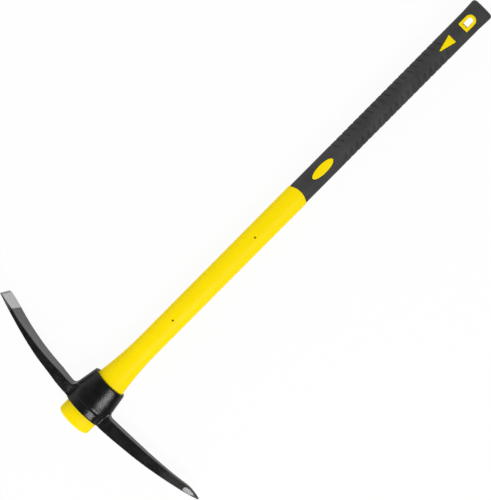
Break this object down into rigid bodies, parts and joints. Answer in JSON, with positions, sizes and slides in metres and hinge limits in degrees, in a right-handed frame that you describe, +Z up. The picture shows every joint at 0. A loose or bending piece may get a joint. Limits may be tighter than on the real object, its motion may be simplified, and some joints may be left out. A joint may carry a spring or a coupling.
{
  "type": "pickaxe",
  "caption": "Digging pick: forged steel head with a chisel arm and a pointed arm, wedged by its oval eye on a flared fibreglass-cored handle with a rubber grip and hang hole.",
  "frame": {"origin": "centre of the tool's box at its lowest level: the tool lies on its side, resting on the outside of the head's eye", "axes": "+X along the handle from the head towards the grip, +Y along the head's chisel arm, +Z up and square to the plane of the arms and handle"},
  "size_m": [0.9, 0.443, 0.0567],
  "materials": {
    "head_paint": "semi-gloss black paint over forged steel, with both ends ground bare",
    "jacket": "satin moulded polypropylene, yellow",
    "core": "pultruded glass fibre in resin",
    "grip": "matt moulded thermoplastic rubber with a chevron tread"
  },
  "bodies": {
    "handle": {"handle_jacket": "jacket", "fibreglass_core": "core", "grip_sleeve": "grip"},
    "head": {"pick_head": "head_paint"}
  },
  "joints": [
    {"name": "head_slide", "type": "slide", "parent": "handle", "child": "head", "axis": [1, 0, 0], "range_m": [0, 0.9]}
  ]
}
